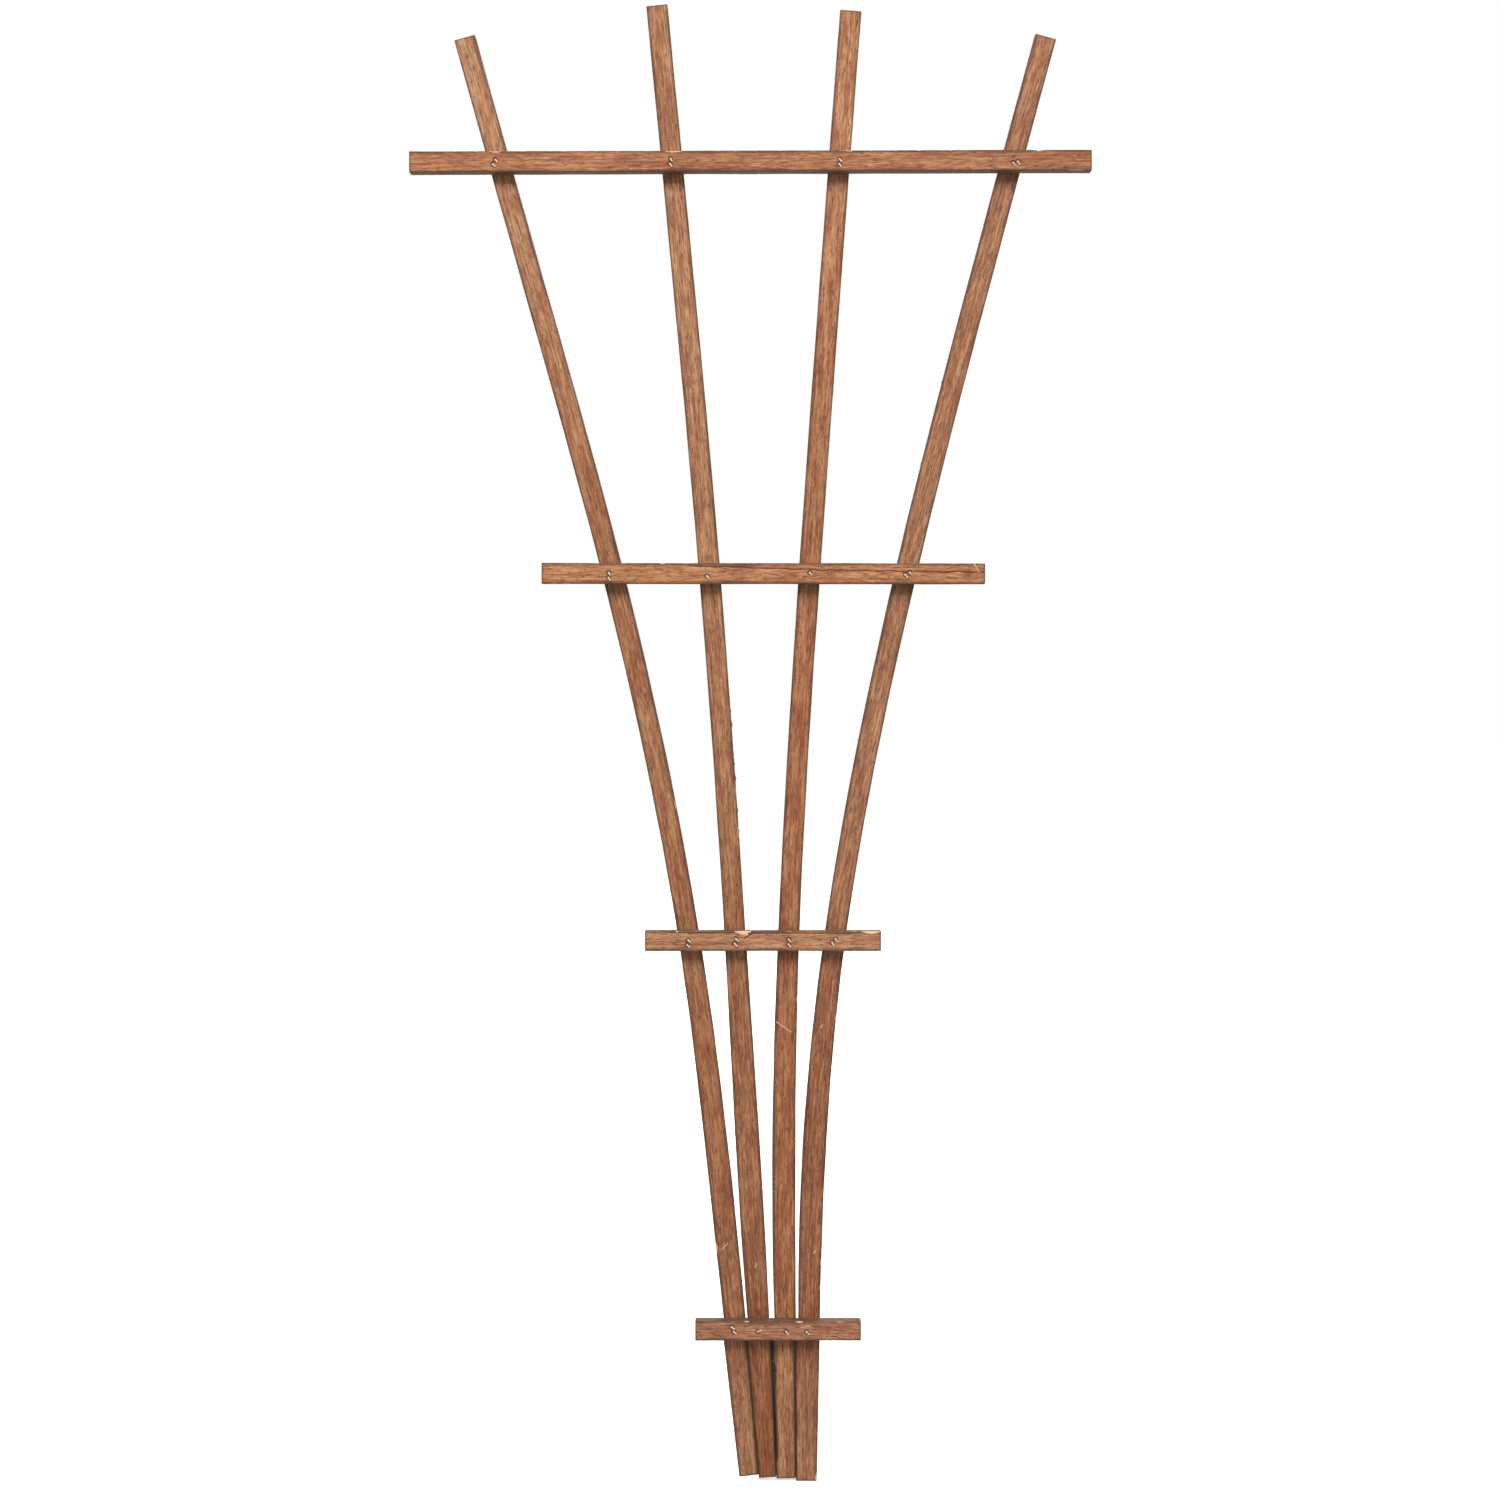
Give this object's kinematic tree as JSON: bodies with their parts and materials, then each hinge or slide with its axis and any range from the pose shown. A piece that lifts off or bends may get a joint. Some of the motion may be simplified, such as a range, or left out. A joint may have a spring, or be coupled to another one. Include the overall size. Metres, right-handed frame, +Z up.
{
  "type": "fan trellis",
  "caption": "Flat wooden fan trellis: bowed slats spread from a tight foot and are stapled behind horizontal crossbars.",
  "frame": {"origin": "under the middle of the trellis's whole width and depth, at the level of its lowest foot", "axes": "+Z up along the fan, +X to the right seen from the front, -Y the front, where the crossbars are"},
  "size_m": [0.7002, 0.0236, 1.524],
  "materials": {
    "upright_wood": "matte, stained red-brown softwood",
    "crossbar_wood": "matte, stained red-brown softwood",
    "staple_wire": "drawn galvanised wire, slightly dulled"
  },
  "bodies": {
    "root": {"far_left_upright": "upright_wood", "left_upright": "upright_wood", "right_upright": "upright_wood", "far_right_upright": "upright_wood", "top_crossbar": "crossbar_wood", "second_crossbar": "crossbar_wood", "third_crossbar": "crossbar_wood", "bottom_crossbar": "crossbar_wood", "top_far_left_staple": "staple_wire", "top_left_staple": "staple_wire", "top_right_staple": "staple_wire", "top_far_right_staple": "staple_wire", "second_far_left_staple": "staple_wire", "second_left_staple": "staple_wire", "second_right_staple": "staple_wire", "second_far_right_staple": "staple_wire", "third_far_left_staple": "staple_wire", "third_left_staple": "staple_wire", "third_right_staple": "staple_wire", "third_far_right_staple": "staple_wire", "bottom_far_left_staple": "staple_wire", "bottom_left_staple": "staple_wire", "bottom_right_staple": "staple_wire", "bottom_far_right_staple": "staple_wire"}
  },
  "joints": []
}
